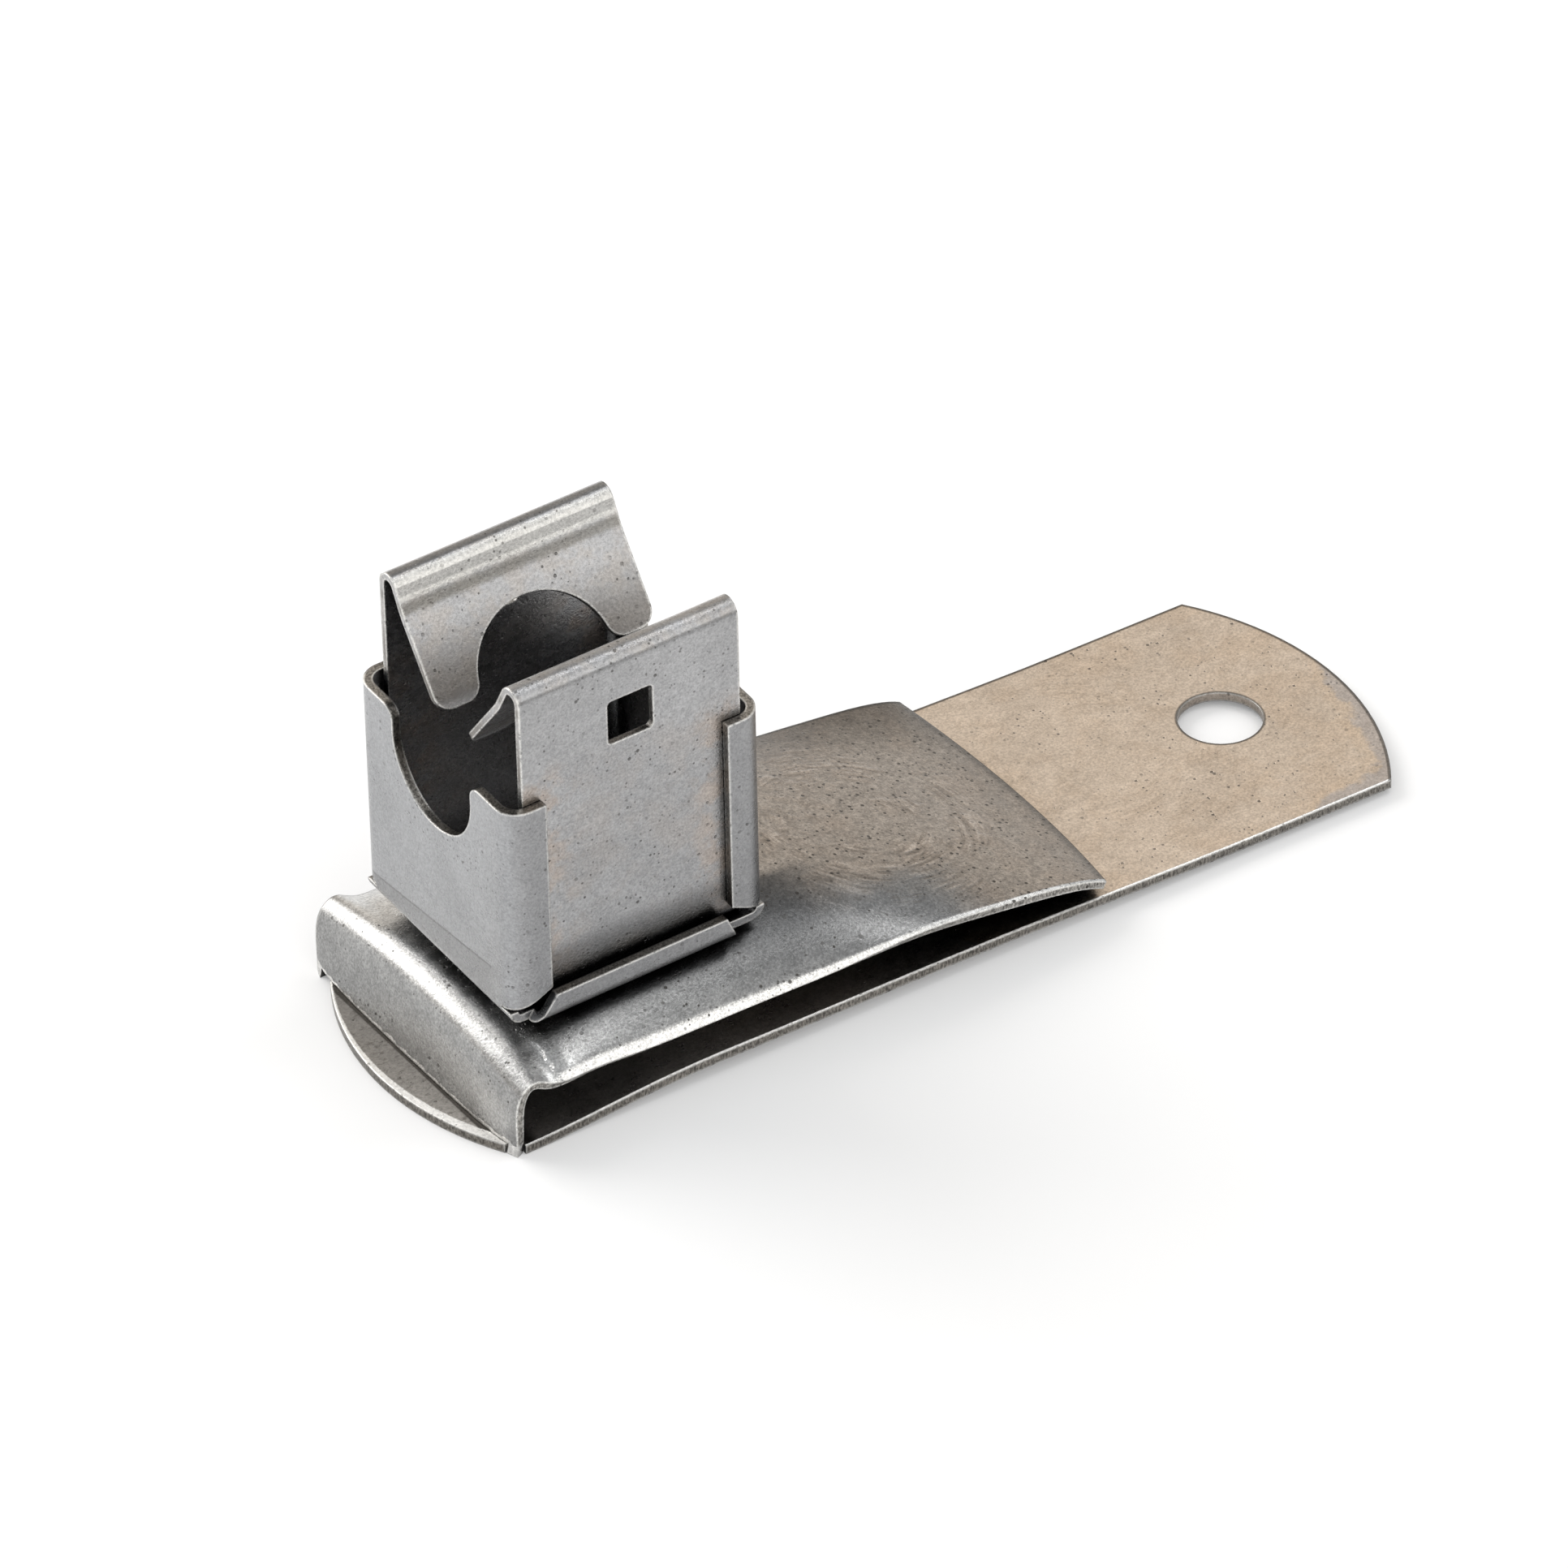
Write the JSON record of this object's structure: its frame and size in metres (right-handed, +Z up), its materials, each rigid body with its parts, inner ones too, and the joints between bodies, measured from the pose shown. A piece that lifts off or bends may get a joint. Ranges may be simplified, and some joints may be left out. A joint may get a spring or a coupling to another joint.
{
  "type": "roof pipe support",
  "caption": "Spring-steel slate clip with a riveted cradle: two notched end panels and two sprung lips hold a thin round pipe or conductor; a nail hole fixes the strip.",
  "frame": {"origin": "on the ground that the part lies on, under the middle of the base strip, which is the bottom centre of the whole part; the strip is bowed, so its left end touches the ground and its flat right end lies 0.45 mm above it", "axes": "+X along the strip from the cradle to the nail hole, +Y across the strip, +Z up; the held pipe runs along X"},
  "size_m": [0.079, 0.025, 0.0358],
  "materials": {
    "strip_steel": "satin sheet with a warm tan bloom",
    "leaf_steel": "satin sheet, taupe grey with fine rubbing marks",
    "bracket_steel": "cool grey satin sheet with fine pits and pinkish stains",
    "clip_steel": "cool grey satin sheet with fine pits",
    "rivet_steel": "satin"
  },
  "bodies": {
    "root": {"base_strip": "strip_steel", "leaf_spring": "leaf_steel", "cradle_bracket": "bracket_steel", "spring_clip": "clip_steel", "rivet": "rivet_steel"}
  },
  "joints": []
}
